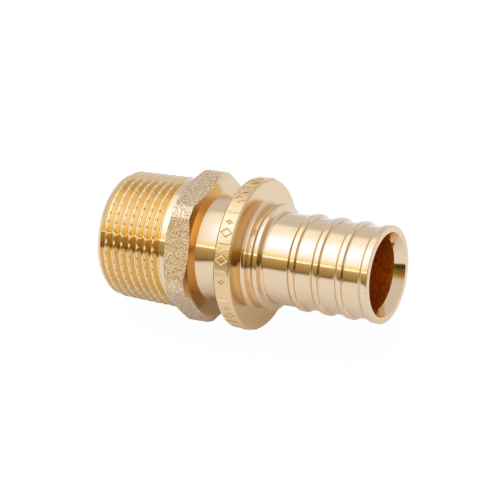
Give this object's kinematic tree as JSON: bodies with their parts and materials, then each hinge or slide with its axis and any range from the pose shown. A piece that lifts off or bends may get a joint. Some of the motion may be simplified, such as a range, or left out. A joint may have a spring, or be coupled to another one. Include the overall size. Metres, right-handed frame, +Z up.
{
  "type": "male threaded pipe coupling",
  "caption": "Brass pipe coupling with a taper male thread, hexagon, collar and ribbed spigot for a plastic pipe, bored right through.",
  "frame": {"origin": "on the ground, below the middle of the coupling's box as it rests", "axes": "+Z up; +X towards the ribbed spigot's open end, which the axis of the coupling meets after rising 5.57 degrees; Y across it"},
  "size_m": [0.0612, 0.0312, 0.0313],
  "materials": {
    "brass": "turned and polished, with the hexagon's flats and the collar's rim left as forged and blasted"
  },
  "bodies": {
    "root": {"coupling_body": "brass"}
  },
  "joints": []
}
